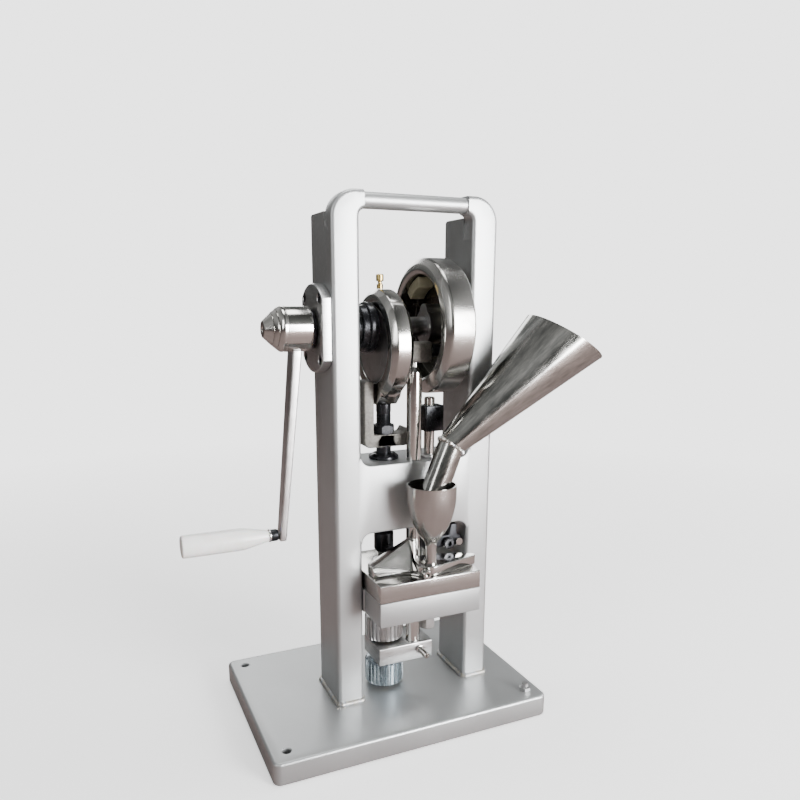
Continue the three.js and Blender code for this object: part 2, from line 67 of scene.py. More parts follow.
# ---- shader parts -----------------------------------------------------------
def arithmetic(operation, swapped=False):
    def apply(value, other):
        pair = (other, value) if swapped else (value, other)
        return value.nodes.add("Math", {"operation": operation}, dict(enumerate(pair)))
    return apply


class Value:
    """A shader number. Arithmetic on it adds its Math nodes."""

    def __init__(self, nodes, socket):
        self.nodes = nodes
        self.socket = socket

    __add__ = __radd__ = arithmetic("ADD")
    __mul__ = __rmul__ = arithmetic("MULTIPLY")
    __sub__ = arithmetic("SUBTRACT")
    __rsub__ = arithmetic("SUBTRACT", swapped=True)
    __truediv__ = arithmetic("DIVIDE")
    __pow__ = arithmetic("POWER")


class Nodes:
    """A node tree that is filled one node at a time."""

    def __init__(self, tree):
        self.tree = tree
        tree.nodes.clear()

    def add(self, kind, settings=None, values=None, out=0):
        node = self.tree.nodes.new("ShaderNode" + kind)
        for key, setting in (settings or {}).items():
            if key == "stops":
                self.fill(node.color_ramp, setting)
            else:
                setattr(node, key, setting)
        for key, value in (values or {}).items():
            self.feed(node.inputs[key], value)
        return Value(self, node.outputs[out]) if node.outputs else node

    def feed(self, socket, value):
        if isinstance(value, Value):
            self.tree.links.new(value.socket, socket)
        else:
            socket.default_value = value

    def fill(self, ramp, stops):
        while len(ramp.elements) < len(stops):
            ramp.elements.new(0.5)
        for element, (position, shade) in zip(ramp.elements, stops):
            element.position = position
            element.color = shade if len(shade) == 4 else (*shade, 1)

    def ramp(self, value, *stops):
        return self.add("ValToRGB", {"stops": stops}, {0: value})

    def blend(self, factor, a, b):
        return self.add("Mix", {"data_type": "RGBA"}, {0: factor, 6: a, 7: b}, out=2)

    def place(self):
        """Object coordinates, in metres."""
        return self.add("TexCoord", out=3)

    def stretched(self, x, y, z):
        return self.add("VectorMath", {"operation": "MULTIPLY"}, {0: self.place(), 1: (x, y, z)})

    def noise(self, scale, detail=3, rough=0.5, vector=None):
        values = {"Vector": vector or self.place(), "Scale": scale, "Detail": detail, "Roughness": rough}
        return self.add("TexNoise", values=values)

    def axes(self, vector=None):
        split = self.add("SeparateXYZ", values={0: vector or self.place()})
        outputs = split.socket.node.outputs
        return [Value(self, outputs[i]) for i in range(3)]


class Finish(Nodes):
    """A material with one Principled shader."""

    def __init__(self, name, metal, **uniform):
        self.material = bpy.data.materials.new(name)
        self.material.use_nodes = True
        super().__init__(self.material.node_tree)
        self.shader = self.tree.nodes.new("ShaderNodeBsdfPrincipled")
        output = self.tree.nodes.new("ShaderNodeOutputMaterial")
        self.tree.links.new(self.shader.outputs[0], output.inputs[0])
        self.set("Metallic", metal)
        for key, value in uniform.items():
            self.set(key.replace("_", " "), value)

    def set(self, socket, value):
        self.feed(self.shader.inputs[socket], value)

    def bump(self, height, depth, strength=1.0):
        """Depth is in millimetres."""
        values = {"Height": height, "Distance": depth * MM, "Strength": strength}
        self.set("Normal", self.add("Bump", values=values))

    def reach(self, axis, at):
        """The place along an axis and the distance from it."""
        places = self.axes()
        order = {"x": "xyz", "y": "yxz", "z": "zxy"}[axis]
        along, u, v = [places["xyz".index(a)] for a in order]
        u, v = u - at[0] * MM, v - at[1] * MM
        return along, (u * u + v * v) ** 0.5

    def rings(self, axis, at, scale):
        """Fine lines round an axis, on the barrel and on the end faces alike."""
        along, out = self.reach(axis, at)
        line = self.add("CombineXYZ", values={0: along + out * 1.1})
        return self.noise(scale, 4, 0.65, line)


def silver_paint():
    """Sprayed silver enamel over ground steel."""
    f = Finish("silver_paint", 0.82, Coat_Roughness=0.3)
    cloud, flake, peel = f.noise(9, 4), f.noise(2600, 2), f.noise(420, 3)
    sweep = f.noise(1, 3, 0.5, f.stretched(60, 60, 9))
    f.set("Base Color", f.blend(cloud * 0.55 + flake * 0.3 + sweep * 0.15,
                                (0.33, 0.34, 0.345, 1), (0.5, 0.51, 0.512, 1)))
    f.set("Roughness", 0.3 + cloud * 0.12 + flake * 0.12)
    f.set("Coat Weight", 0.1 + peel * 0.15)
    f.bump(peel * 0.8 + flake * 0.12 + cloud * 2.0, 0.12, 0.5)
    return f.material


def polished(name, axis=None, at=(0, 0), shade=0.6, rough=0.1, lines=900, stretch=(40, 40, 40),
             shade_within=None):
    """Polished stainless steel, with turning lines where it is round and hazy smudges.

    Inside the radius given by its last argument it is painted dark: painted shade inside the recess.
    """
    f = Finish("polished_" + name, 1.0)
    marks = f.rings(axis, at, lines) if axis else f.noise(1, 4, 0.6, f.stretched(*stretch))
    smudge, haze = f.noise(34, 4, 0.6), f.noise(8, 3)
    # the slight warm cast of these colours is a painted reflection of warm surroundings
    tint = f.ramp(marks * 0.4 + haze * 0.6, (0.3, (shade * 0.8, shade * 0.79, shade * 0.765)),
                  (0.7, (shade, shade * 0.98, shade * 0.935)))
    # painted shade: inside this radius the colour turns dark, as in the shaded recess of the drum
    if shade_within:
        out = f.reach(axis, at)[1] / (shade_within * MM * 2)
        outside_recess = f.ramp(out, (0.485, (0, 0, 0)), (0.51, (1, 1, 1)))
        recess_shade = f.ramp(haze, (0.3, (0.05, 0.047, 0.036)), (0.7, (0.13, 0.125, 0.1)))
        tint = f.blend(outside_recess, recess_shade, tint)
    f.set("Base Color", tint)
    f.set("Roughness", rough * 0.6 + marks * rough * 0.7 + smudge ** 3.0 * 0.35)
    f.bump(marks, 0.02, 0.35)
    return f.material


def machined(name, axis=None, at=(0, 0), shade=0.5, tint=(1, 1, 1), stretch=(30, 900, 900), rough=0.26):
    """Turned or milled steel: plain tool lines, faint stains and a satin sheen."""
    f = Finish("machined_" + name, 1.0)
    marks = f.rings(axis, at, 1500) if axis else f.noise(1, 3, 0.6, f.stretched(*stretch))
    stain = f.noise(55, 4, 0.65)
    low = tuple(shade * 0.7 * t for t in tint)
    high = tuple(shade * 1.15 * t for t in tint)
    f.set("Base Color", f.ramp(marks * 0.5 + stain * 0.5, (0.3, low), (0.68, high)))
    f.set("Roughness", rough * 0.6 + marks * 0.16 + stain * 0.16)
    f.bump(marks, 0.05, 0.5)
    return f.material


def black_steel(name="black_steel", rough=0.3):
    """Oil-blackened steel that is rubbed a little bright."""
    f = Finish(name, 0.75)
    rub, grain = f.noise(70, 5, 0.7), f.noise(900, 3)
    f.set("Base Color", f.ramp(rub, (0.45, (0.018, 0.019, 0.022)), (0.62, (0.035, 0.036, 0.04)),
                               (0.8, (0.16, 0.16, 0.165))))
    f.set("Roughness", rough * 0.7 + grain * 0.14 + rub * 0.14)
    f.bump(grain, 0.05, 0.4)
    return f.material


def weld_bead():
    """Bare weld metal with straw and blue heat colours."""
    f = Finish("weld_bead", 1.0)
    heat, spatter = f.noise(120, 4, 0.6), f.noise(700, 4, 0.6)
    f.set("Base Color", f.ramp(heat, (0.3, (0.42, 0.42, 0.42)), (0.48, (0.56, 0.53, 0.47)),
                               (0.6, (0.5, 0.52, 0.56)), (0.75, (0.36, 0.36, 0.37))))
    f.set("Roughness", 0.26 + spatter * 0.3)
    f.bump(spatter + heat, 0.3, 0.6)
    return f.material


def grey_casting():
    """Rough sand-cast metal with darker pits."""
    f = Finish("grey_casting", 0.55)
    grit, pits, cloud = f.noise(1500, 4, 0.7), f.noise(380, 3, 0.6), f.noise(45, 3)
    f.set("Base Color", f.ramp(grit * 0.45 + pits * 0.35 + cloud * 0.2, (0.3, (0.07, 0.067, 0.06)),
                               (0.5, (0.17, 0.163, 0.148)), (0.72, (0.3, 0.288, 0.262))))
    f.set("Roughness", 0.45 + grit * 0.35)
    f.bump(grit * 0.6 + pits, 0.4, 0.8)
    return f.material


def brass(name, axis, at):
    """Dull turned brass with brown tarnish."""
    f = Finish("brass_" + name, 1.0)
    marks, tarnish = f.rings(axis, at, 1400), f.noise(160, 4, 0.6)
    f.set("Base Color", f.ramp(tarnish * 0.7 + marks * 0.3, (0.32, (0.3, 0.2, 0.07)),
                               (0.55, (0.62, 0.47, 0.19)), (0.8, (0.76, 0.62, 0.3))))
    f.set("Roughness", 0.18 + tarnish * 0.24 + marks * 0.08)
    f.bump(marks, 0.04, 0.4)
    return f.material


def white_plastic():
    """Glossy moulded plastic, slightly greyed by handling."""
    f = Finish("white_plastic", 0.0, Subsurface_Weight=0.12, Subsurface_Scale=0.004)
    grime, peel = f.noise(60, 5, 0.65), f.noise(500, 2)
    f.set("Base Color", f.ramp(grime, (0.35, (0.86, 0.855, 0.84)), (0.7, (0.78, 0.765, 0.735))))
    f.set("Roughness", 0.24 + grime * 0.2)
    f.set("Coat Weight", 0.1 + peel * 0.15)
    f.bump(peel, 0.04, 0.3)
    return f.material


def olive_paint():
    """Dull olive paint, thin at its brush strokes."""
    f = Finish("olive_paint", 0.15)
    strokes, cloud = f.noise(1, 4, 0.6, f.stretched(90, 500, 90)), f.noise(50, 3)
    f.set("Base Color", f.blend(strokes * 0.6 + cloud * 0.4, (0.3, 0.29, 0.18, 1), (0.5, 0.47, 0.34, 1)))
    f.set("Roughness", 0.42 + strokes * 0.25)
    f.bump(strokes, 0.12, 0.5)
    return f.material


# ---- mesh parts -------------------------------------------------------------
def solid(name, points, faces):
    mesh = bpy.data.meshes.new(name)
    mesh.from_pydata([Vector(p) * MM for p in points], [], faces)
    bm = bmesh.new()
    bm.from_mesh(mesh)
    bmesh.ops.remove_doubles(bm, verts=bm.verts, dist=1e-7)
    bmesh.ops.recalc_face_normals(bm, faces=bm.faces)
    bm.to_mesh(mesh)
    bm.free()
    obj = bpy.data.objects.new(name, mesh)
    bpy.context.scene.collection.objects.link(obj)
    return obj


def loft(name, rings, loop=False):
    """A skin over rings of points, with flat ends unless it closes on itself."""
    n, count = len(rings[0]), len(rings)
    faces = []
    for k in range(count if loop else count - 1):
        for i in range(n):
            j, m = (i + 1) % n, (k + 1) % count
            faces.append((k * n + i, k * n + j, m * n + j, m * n + i))
    if not loop:
        faces += [tuple(reversed(range(n))), tuple(range((count - 1) * n, count * n))]
    return solid(name, [p for ring in rings for p in ring], faces)


def round_turn(steps):
    """Even angles once round."""
    return [2 * math.pi * i / steps for i in range(steps)]


def circle(axis, at, r, h, steps):
    points = []
    for a in round_turn(steps):
        u, v = at[0] + r * math.cos(a), at[1] + r * math.sin(a)
        points.append({"x": (h, u, v), "y": (u, h, v), "z": (u, v, h)}[axis])
    return points


def turned(name, axis, at, profile, steps=72):
    """A lathe body: profile is a list of (radius, distance along the axis)."""
    loop = tuple(profile[0]) == tuple(profile[-1])
    rows = profile[:-1] if loop else profile
    return loft(name, [circle(axis, at, max(r, 0), h, steps) for r, h in rows], loop)


def rod(axis, at, r, low, high, steps=48):
    return turned("tool", axis, at, [(0, low), (r, low), (r, high), (0, high)], steps)


def eased(points, radius, steps=4, closed=False):
    """The same line with its corners rounded."""
    line = []
    for i, point in enumerate(points):
        p = Vector(point)
        if not closed and i in (0, len(points) - 1):
            line.append(p)
            continue
        a, b = Vector(points[i - 1]), Vector(points[(i + 1) % len(points)])
        reach = min(radius, (a - p).length * 0.45, (b - p).length * 0.45)
        start, end = p + (a - p).normalized() * reach, p + (b - p).normalized() * reach
        for k in range(steps + 1):
            t = k / steps
            line.append(start.lerp(p, t).lerp(p.lerp(end, t), t))
    return line


def ringed(profile, radius):
    """A closed lathe section with eased corners."""
    line = eased(profile, radius, 3, closed=True)
    return line + [line[0]]


def prism(name, plane, outline, low, high):
    """An outline in a plane, drawn out along the third axis."""
    def at(u, v, h):
        return {"xy": (u, v, h), "xz": (u, h, v), "yz": (h, u, v)}[plane]
    return loft(name, [[at(u, v, h) for u, v in outline] for h in (low, high)])


def slab(name, x0, x1, y0, y1, z0, z1):
    return prism(name, "xy", [(x0, y0), (x1, y0), (x1, y1), (x0, y1)], z0, z1)


def arc(cx, cy, r, start, end, steps=8):
    """Points on an arc, with its ends in degrees."""
    turns = [math.radians(start + (end - start) * i / steps) for i in range(steps + 1)]
    return [(cx + r * math.cos(a), cy + r * math.sin(a)) for a in turns]


def rounded(x0, x1, y0, y1, r, steps=6):
    """A rectangle with round corners."""
    return (arc(x1 - r, y0 + r, r, -90, 0, steps) + arc(x1 - r, y1 - r, r, 0, 90, steps)
            + arc(x0 + r, y1 - r, r, 90, 180, steps) + arc(x0 + r, y0 + r, r, 180, 270, steps))


def settle(obj):
    """Makes the modifiers part of the mesh."""
    graph = bpy.context.evaluated_depsgraph_get()
    mesh = bpy.data.meshes.new_from_object(obj.evaluated_get(graph))
    obj.modifiers.clear()
    obj.data = mesh
    return obj


def combine(obj, operation, tools):
    for tool in tools:
        step = obj.modifiers.new(operation, "BOOLEAN")
        step.operation, step.solver, step.object = operation, "EXACT", tool
    settle(obj)
    for tool in tools:
        bpy.data.objects.remove(tool)
    return obj


def cut(obj, *tools):
    return combine(obj, "DIFFERENCE", tools)


def fuse(obj, *tools):
    return combine(obj, "UNION", tools)


def round_edges(obj, width, segments, wanted):
    """Rounds only the edges whose two ends, in millimetres, pass the test."""
    bm = bmesh.new()
    bm.from_mesh(obj.data)
    edges = [e for e in bm.edges if wanted(*[v.co / MM for v in e.verts])]
    bmesh.ops.bevel(bm, geom=edges, offset=width * MM, segments=segments, profile=0.5,
                    affect="EDGES", clamp_overlap=False)
    bm.to_mesh(obj.data)
    bm.free()
    return obj


def soften(obj, width, segments=3, angle=30):
    bevel = obj.modifiers.new("edge", "BEVEL")
    bevel.width, bevel.segments = width * MM, segments
    bevel.limit_method, bevel.angle_limit = "ANGLE", math.radians(angle)
    return settle(obj)


def fit(obj, finish, *nodes, body=None, slot=None):
    """Puts a finished piece on its body, in place of its frame nodes."""
    obj.data.materials.clear()
    obj.data.materials.append(finish)
    obj.data.shade_smooth()
    obj.data.set_sharp_from_angle(angle=math.radians(34))
    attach(obj, body or BODY[nodes[0]])
    if nodes:
        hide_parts(*nodes)
    return obj


def bead(name, path, r, seed, closed=True, rough=0.07):
    """A weld bead along a path, with its ripples and lumps."""
    rng = random.Random(seed)
    rings = []
    for i, p in enumerate(path):
        ahead, behind = path[(i + 1) % len(path)], path[i - 1]
        if not closed:
            ahead, behind = path[min(i + 1, len(path) - 1)], path[max(i - 1, 0)]
        way = (ahead - behind).normalized()
        side = way.orthogonal().normalized()
        other = way.cross(side)
        lump = r * (0.88 + 0.07 * math.sin(i * 1.3) + rng.uniform(-rough, rough))
        rings.append([p + lump * (side * math.cos(a) + other * math.sin(a))
                      for a in round_turn(10)])
    return loft(name, rings, closed)


def spaced(points, step, closed=True):
    """Points at even spacing along a line."""
    ends = points + [points[0]] if closed else points
    line = []
    for a, b in zip(ends, ends[1:]):
        count = max(1, round((b - a).length / step))
        line += [a.lerp(b, k / count) for k in range(count)]
    return line


# ---- the camera and the light ----------------------------------------------
CAMERA_AT = Vector((-284.94, -681.53, 442.43)) * MM
LOOK_AT = Vector((21.045, 0, 274.588)) * MM
camera_data = bpy.data.cameras.new("camera")
camera_data.lens = 32.51
camera_data.sensor_width = 36
camera_data.shift_x, camera_data.shift_y = 0.0025, 0.0723
camera = bpy.data.objects.new("camera", camera_data)
bpy.context.scene.collection.objects.link(camera)
camera.location = CAMERA_AT
facing = (LOOK_AT - CAMERA_AT).to_track_quat("-Z", "Y")
camera.rotation_euler = (facing.to_matrix() @ Matrix.Rotation(0.002, 3, "Z")).to_euler()
bpy.context.scene.camera = camera


def softbox(name, at, aim, width, height, power):
    data = bpy.data.lights.new(name, "AREA")
    data.shape, data.size, data.size_y = "RECTANGLE", width, height
    data.energy = power
    light = bpy.data.objects.new(name, data)
    bpy.context.scene.collection.objects.link(light)
    light.location = at
    light.visible_camera = False
    light.rotation_euler = (Vector(aim) - Vector(at)).to_track_quat("-Z", "Y").to_euler()


softbox("front_box", (0.95, -1.9, 0.62), (0.05, 0, 0.25), 0.95, 1.15, 140)
softbox("left_strip", (-1.9, -0.9, 1.1), (0, 0, 0.3), 0.35, 1.2, 12)
softbox("right_strip", (1.9, -0.2, 1.0), (0, 0, 0.3), 0.5, 1.2, 14)
softbox("top_box", (0.1, 0.2, 2.0), (0, 0, 0), 0.9, 0.8, 20)
softbox("rear_strip", (0.3, 2.0, 1.1), (0, 0, 0.3), 0.9, 0.7, 10)

# How bright the surroundings are where they are seen straight on.
PALE = 3.0


def studio():
    """Pale behind the press, with darker walls for the metal to mirror."""
    world = bpy.data.worlds.new("studio")
    world.use_nodes = True
    bpy.context.scene.world = world
    n = Nodes(world.node_tree)
    across, _, up = n.axes(n.add("TexCoord", out=0))
    walls = n.ramp(up * 0.5 + 0.5, (0.44, (0.4, 0.4, 0.39)), (0.51, (0.12, 0.125, 0.12)),
                   (0.6, (0.24, 0.245, 0.24)), (0.7, (0.7, 0.7, 0.7)), (0.78, (0.9, 0.9, 0.9)),
                   (0.95, (0.3, 0.3, 0.3)))
    shade = n.ramp(across * 0.5 + 0.5, (0.0, (0.6, 0.6, 0.6)), (0.2, (0.6, 0.61, 0.6)),
                   (0.36, (0.9, 0.9, 0.9)), (0.5, (0.3, 0.31, 0.3)), (0.66, (0.22, 0.23, 0.22)),
                   (0.8, (1.0, 1.0, 1.0)), (1.0, (0.4, 0.4, 0.4)))
    mirrored = n.add("Mix", {"data_type": "RGBA", "blend_type": "MULTIPLY"},
                     {0: 1.0, 6: walls, 7: shade}, out=2)
    dim = n.add("Background", values={"Color": mirrored, "Strength": 0.9})
    pale = n.add("Background", values={"Color": (1, 1, 1, 1), "Strength": PALE})
    straight = n.add("LightPath", out=0)
    both = n.add("MixShader", values={0: straight, 1: dim, 2: pale})
    n.add("OutputWorld", values={"Surface": both})


studio()


def floor():
    """A pale round sheet just under the feet, as the camera sees it; darker where the metal mirrors it, a
    painted reflection and painted shade in dim red-brown.
    """
    points = circle("z", (0, 0), 60000, -0.6, 64)
    sheet = solid("floor", points, [tuple(range(len(points)))])
    f = Finish("pale_floor", 0.0, Roughness=0.8, Specular_IOR_Level=0.1, Emission_Strength=PALE)
    far = f.ramp(f.reach("z", (0, 0))[1] / 4.0, (0.07, (0, 0, 0)), (0.38, (1, 1, 1)))
    f.set("Base Color", f.blend(far, (0.86, 0.86, 0.86, 1), (0, 0, 0, 1)))
    f.set("Emission Color", f.blend(far, (0.3, 0.3, 0.3, 1), (1, 1, 1, 1)))
    # painted reflection and painted shade: reflected and bounced rays see this dim red-brown instead of the
    # pale floor
    painted_reflection_tint = f.blend(f.noise(3, 2), (0.24, 0.185, 0.175, 1), (0.38, 0.31, 0.295, 1))
    dim = f.add("BsdfDiffuse", values={0: painted_reflection_tint})
    straight = f.add("LightPath", out=0)
    both = f.add("MixShader", values={0: straight, 1: dim, 2: Value(f, f.shader.outputs[0])})
    f.feed(f.tree.nodes["Material Output"].inputs[0], both)
    sheet.data.materials.append(f.material)


floor()

# ---- shared finishes and places ----------------------------------------------
shaft = Span("main_shaft")
AXLE = (shaft.y, shaft.z)
spindle = Span("ram_spindle")
RAM = (spindle.x, spindle.y)
lift = Span("lift_rod")
LIFT = (lift.x, lift.y)
feed = Span("feed_shaft")
FEED = (feed.x, feed.y)
cup = Span("hopper_cup")
CUP = (cup.x, cup.y)
strap = Span("eccentric_strap")
STRAP_Z = strap.z1 - (strap.y1 - strap.y0) / 2
THROW_AT = (shaft.y, STRAP_Z)
grip = Span("crank_grip")
GRIP = (grip.y, grip.z)

# Radii of the bores for the main shaft, the ram, the lift rod, the feed shaft and the lower punch.
SHAFT_BORE, RAM_BORE, LIFT_BORE, FEED_BORE, PUNCH_BORE = 10.3, 8, 8.1, 5.8, 6.3

SILVER = silver_paint()
BLACK = black_steel()
GLOSS_BLACK = black_steel("gloss_black_steel", 0.16)
WELD = weld_bead()
CASTING = grey_casting()
WHITE = white_plastic()
OLIVE = olive_paint()
POLISHED_AXLE = polished("axle", "x", AXLE)
POLISHED_STRAP = polished("strap", "x", THROW_AT, 0.5, 0.13)
POLISHED_CUP = polished("cup", "z", CUP, 0.56, 0.14, 1300)
POLISHED_LIFT = polished("lift", "z", LIFT, 0.68, 0.08)
POLISHED_FEED = polished("feed", "z", FEED)
POLISHED_FLAT = polished("flat", stretch=(16, 240, 600), rough=0.13)
MACHINED_AXLE = machined("axle", "x", AXLE)
MACHINED_RAM = machined("ram", "z", RAM)
MACHINED_FEED = machined("feed", "z", FEED)
MILLED = machined("milled", stretch=(40, 40, 900), shade=0.54)


# ---- base, uprights, handle and beams ----------------------------------------
def make_base():
    plate, hole = Span("base_plate"), 4.2
    body = prism("base_plate_sheet", "xy", rounded(plate.x0, plate.x1, plate.y0, plate.y1, 8, 10),
                 plate.z0, plate.z1)
    soften(body, 3.2, 6)
    bolt = Span("base_bolt")
    inset_x, inset_y = plate.x1 - bolt.x, bolt.y - plate.y0
    tools = []
    for x in (plate.x0 + inset_x, plate.x1 - inset_x):
        for y in (plate.y0 + inset_y, plate.y1 - inset_y):
            profile = [(0, -1), (hole, -1), (hole, plate.z1 - 0.9), (hole + 1.1, plate.z1 + 0.2),
                       (0, plate.z1 + 0.2)]
            tools.append(turned("tool", "z", (x, y), profile, 40))
    fit(cut(body, *tools), SILVER, "base_plate")

    at = (bolt.x, bolt.y)
    top = plate.z1 + GAP
    thread = []
    for k in range(int(bolt.z1 - top - 5)):
        thread += [(3.8, top + 4.6 + k), (3.3, top + 5.1 + k)]
    stud = turned("base_bolt_stud", "z", at, [
        (0, bolt.z0), (3.5, bolt.z0), (3.5, top + 4.4), *thread, (3.2, bolt.z1), (0, bolt.z1)], 40)
    fit(stud, machined("base_bolt", "z", at, 0.45), "base_bolt")
    corner, high = 6.5, top + 4.2
    nut = turned("base_bolt_nut", "z", at, [(0, top), (corner, top), (corner, high), (0, high)], 6)
    dome = turned("tool", "z", at, [(0, top - 1), (5.6, top - 1), (corner, top + 0.6), (corner, top + 3.6),
                                    (5.6, high), (0, high)], 48)
    combine(nut, "INTERSECT", [dome])
    fit(nut, machined("base_nut", "z", at, 0.42), body="frame", slot="machined_steel")


def make_frame():
    handle, beam = Span("carry_handle"), Span("crossbeam")
    notch_y, notch_z = handle.y1, handle.z0
    for node in ("upright_left", "upright_right"):
        u = Span(node)
        post = prism(node + "_post", "xy", rounded(u.x0, u.x1, u.y0, u.y1, 4, 8), u.z0, u.z1)
        bend = 8
        back = prism("tool", "yz", [
            (u.y1 - bend, u.z1 + 5), *arc(u.y1 - bend, u.z1 - bend, bend, 90, 0, 12), (u.y1 + 5, u.z1 - bend),
            (u.y1 + 5, u.z1 + 5)], u.x0 - 1, u.x1 + 1)
        notch = slab("tool", u.x0 - 1, u.x1 + 1, u.y0 - 1, notch_y, notch_z, u.z1 + 5)
        fit(cut(post, back, notch, rod("x", AXLE, 14.9, u.x0 - 5, u.x1 + 5, 64)), SILVER, node)

    bar_depth = 16.5
    inner = handle.z1 - bar_depth
    left, right = Span("upright_left").x1, Span("upright_right").x0
    inside, radius = 7, 25
    rise = min(Span("upright_left").z1, handle.z1 - 25.5)
    arch = prism("carry_handle_bar", "xz", [
        (handle.x0, handle.z0), (left, handle.z0), (left, rise),
        *arc(left + inside, inner - inside, inside, 180, 90),
        *arc(right - inside, inner - inside, inside, 90, 0),
        (right, rise), (right, handle.z0), (handle.x1, handle.z0),
        *arc(handle.x1 - radius, handle.z1 - radius, radius, 0, 90, 20),
        *arc(handle.x0 + radius, handle.z1 - radius, radius, 90, 180, 20)], handle.y0, handle.y1)

    def showing(a, b):
        level, front = abs(a.y - b.y) < 0.1, a.y < handle.y0 + 0.1
        under = max(a.z, b.z) < handle.z0 + 0.1
        return level and not under and (front or min(a.z, b.z) > rise - 0.1)
    round_edges(arch, 3.9, 6, showing)
    reach, rod_r = 5, 7.6
    middle = slab("tool", left + reach, right - reach, handle.y0 - 5, handle.y1 + 5, inner - 5, handle.z1 + 5)
    fit(cut(arch, middle), SILVER, "carry_handle")
    rod_at = (handle.y0 + rod_r + 1.2, inner + rod_r)
    grip_rod = rod("x", rod_at, rod_r, left + 1, right - 1, 64)
    grip_rod.name = "carry_handle_rod"
    fit(grip_rod, SILVER, body="frame", slot="silver_paint")
    for side, x in (("left", left + reach), ("right", right - reach)):
        line = [Vector(p) for p in circle("x", rod_at, rod_r + 0.1, x, 60)]
        fit(bead(f"handle_weld_{side}", line, 0.9, 5), SILVER, body="frame", slot="weld_bead")

    fillet, root = 10, 4.4
    low, high = beam.z0 + fillet, beam.z1 - fillet
    bar = prism("crossbeam_bar", "xz", [
        (left - root, low), (left - root, beam.z0 + 7),
        *arc(left + fillet, low - fillet, fillet, 180, 90), *arc(right - fillet, low - fillet, fillet, 90, 0),
        (right + root, beam.z0 + 7), (right + root, beam.z1 - 7),
        *arc(right - fillet, high + fillet, fillet, 360, 270),
        *arc(left + fillet, high + fillet, fillet, 270, 180),
        (left - root, beam.z1 - 7)], beam.y0 - 0.02, beam.y1)

    def window_edge(a, b):
        return abs(a.y - b.y) < 0.1 and min(a.x, b.x) > left - 0.1 and max(a.x, b.x) < right + 0.1
    round_edges(bar, 1.6, 4, window_edge)
    fit(cut(bar, rod("z", RAM, RAM_BORE, 190, 300), rod("z", RAM, 11.2, 190, 220.5),
            rod("z", LIFT, LIFT_BORE, 190, 300), rod("z", FEED, FEED_BORE, 190, 300)), SILVER, "crossbeam")


def make_feet():
    for node, post in (("foot_weld_left", "upright_left"), ("foot_weld_right", "upright_right")):
        u, floor_z = Span(post), Span(node).z0
        outline = rounded(u.x0 - 0.6, u.x1 + 0.6, u.y0 - 0.6, u.y1 + 0.6, 4)
        line = [Vector((x, y, floor_z + 1.2)) for x, y in outline]
        fit(bead(node + "_bead", spaced(line, 0.9), 2.5, 7), WELD, node)
    post, ground = Span("upright_left"), 24.1
    rng = random.Random(3)
    for k in range(5):
        at = (post.x0 + rng.uniform(-3, 6), post.y0 + rng.uniform(-7, -3))
        r = rng.uniform(0.7, 1.5)
        drop = turned(f"weld_spatter_{k + 1}", "z", at, [
            (0, ground), (r, ground), (r * 0.9, ground + r * 0.4), (r * 0.5, ground + r * 0.75),
            (0, ground + r * 0.85)], 14)
        fit(drop, WELD, body="frame", slot="weld_bead")


def make_table():
    t, b, beam, post = Span("die_table"), Span("table_beam"), Span("crossbeam"), Span("upright_left")
    step = post.y0 - GAP
    support = prism("table_beam_block", "xy", [
        (t.x0, t.y0), (t.x1, t.y0), (t.x1, step), (beam.x1, step), (beam.x1, t.y1), (beam.x0, t.y1),
        (beam.x0, step), (t.x0, step)], b.z0, b.z1)
    soften(support, 1.4, 3)
    fit(cut(support, rod("z", RAM, 10.5, 120, 155), rod("z", LIFT, LIFT_BORE, 120, 155),
            rod("z", FEED, FEED_BORE, 120, 155)), SILVER, "table_beam")
    top = slab("die_table_plate", t.x0, t.x1, t.y0, t.y1, t.z0, t.z1)
    soften(top, 0.7, 3)
    fit(cut(top, rod("z", RAM, 12.3, 140, 170, 72), rod("z", LIFT, LIFT_BORE, 140, 170),
            rod("z", FEED, FEED_BORE, 140, 170), rod("z", CUP, 4.3, 155, 170)), POLISHED_FLAT, "die_table")
    d = Span("die")
    fit(turned("die_ring", "z", RAM, ringed([(4.25, d.z0), (12, d.z0), (12, d.z1), (4.25, d.z1)], 0.6), 72),
        MACHINED_RAM, "die")
    g = Span("ram_guide_flange")
    fit(turned("ram_guide_ring", "z", RAM, ringed([
        (RAM_BORE, g.z0), (15.5, g.z0), (15.5, g.z0 + 2.7), (11.5, g.z1), (RAM_BORE, g.z1)], 0.8), 72),
        GLOSS_BLACK, "ram_guide_flange")
    s = Span("feed_shaft_bush")
    fit(turned("feed_bush_ring", "z", FEED, ringed([
        (FEED_BORE, s.z0), (9.5, s.z0), (9.5, s.z1), (FEED_BORE, s.z1)], 0.6), 60),
        MACHINED_FEED, "feed_shaft_bush")


